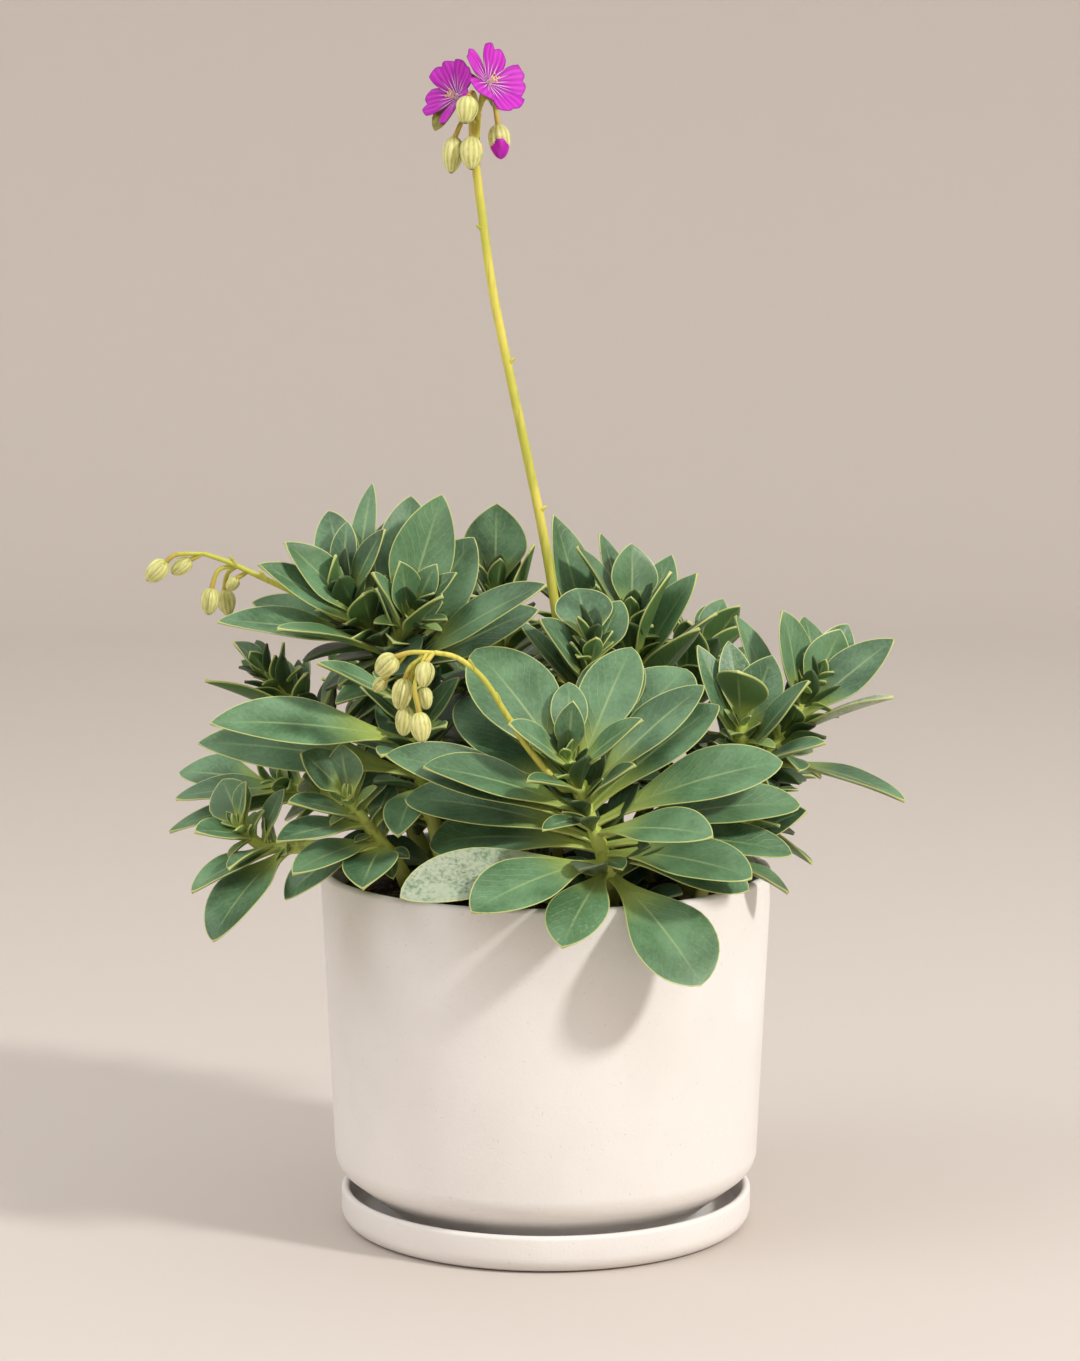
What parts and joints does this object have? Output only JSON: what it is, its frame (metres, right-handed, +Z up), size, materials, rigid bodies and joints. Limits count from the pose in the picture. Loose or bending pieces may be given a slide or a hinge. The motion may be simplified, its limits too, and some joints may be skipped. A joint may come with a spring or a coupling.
{
  "type": "potted rock purslane",
  "caption": "Succulent with spoon-shaped leaves on branching stems, a tall stalk with magenta blooms and nodding buds, in a round ceramic pot on its saucer.",
  "frame": {"origin": "centre of the saucer's underside, where the part stands", "axes": "+Z up, -Y towards the front, +X to the viewer's right"},
  "size_m": [0.4084, 0.3179, 0.6517],
  "materials": {
    "ceramic": "matte, fine grained, warm off-white",
    "potting_mix": "crumbly, dark brown",
    "leaf": "glaucous blue-green with pale margins, satin",
    "stalk": "yellow-green, satin",
    "petal": "magenta, thin and soft",
    "stamen": "cream-yellow"
  },
  "bodies": {
    "root": {"pot": "ceramic", "saucer": "ceramic", "soil": "potting_mix", "stem_front": "leaf", "stem_left_top": "leaf", "stem_left_middle": "leaf", "stem_left_low": "leaf", "stem_left_back": "leaf", "stem_centre": "leaf", "stem_back_centre": "leaf", "stem_back_right": "leaf", "stem_right": "leaf", "stem_right_low": "leaf", "stem_rear_1": "leaf", "stem_rear_2": "leaf", "stem_rear_3": "leaf", "stem_rear_4": "leaf", "stem_rear_5": "leaf", "stem_rear_6": "leaf", "stalk_tall": "stalk", "stalk_left": "stalk", "stalk_front": "stalk", "opening_bud_petals": "petal", "bloom_left_petals": "petal", "bloom_right_petals": "petal", "bloom_left_stamens": "stamen", "bloom_right_stamens": "stamen"}
  },
  "joints": []
}
